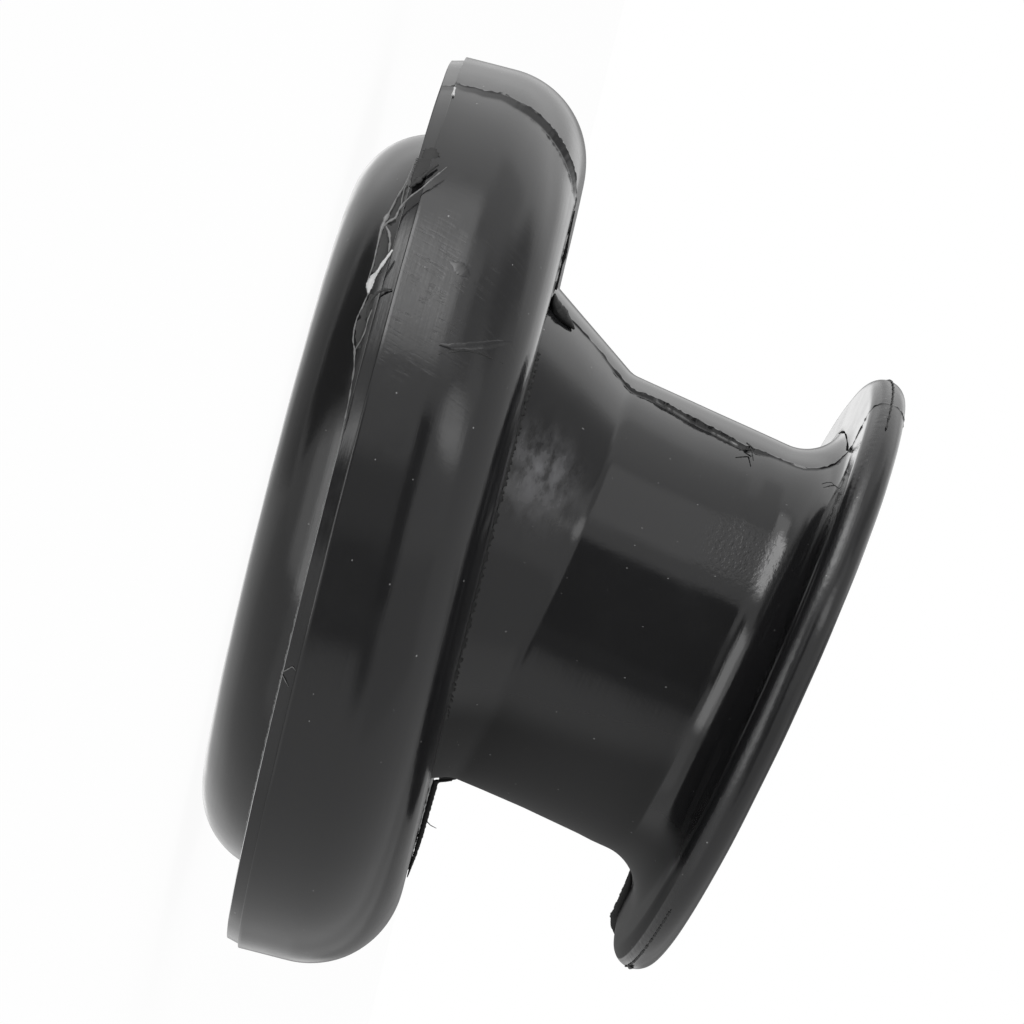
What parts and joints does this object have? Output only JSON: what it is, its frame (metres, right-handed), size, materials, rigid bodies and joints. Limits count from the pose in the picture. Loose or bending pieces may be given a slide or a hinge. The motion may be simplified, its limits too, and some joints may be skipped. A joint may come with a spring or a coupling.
{
  "type": "rubber grommet",
  "caption": "Moulded rubber grommet: round nose with panel groove, thick flange with sealing skirt, and a tilted sleeve with an end lip.",
  "frame": {"origin": "centre of the nose's flat face, which the part stands on", "axes": "+Z along the flange axis towards the sleeve; +X is the side that the sleeve leans to; the mould parts in the XZ plane"},
  "size_m": [0.05, 0.05, 0.032],
  "materials": {
    "rubber": "black moulded rubber, satin to semi-gloss, with fine flash along the mould's parting lines"
  },
  "bodies": {
    "root": {"grommet": "rubber"}
  },
  "joints": []
}
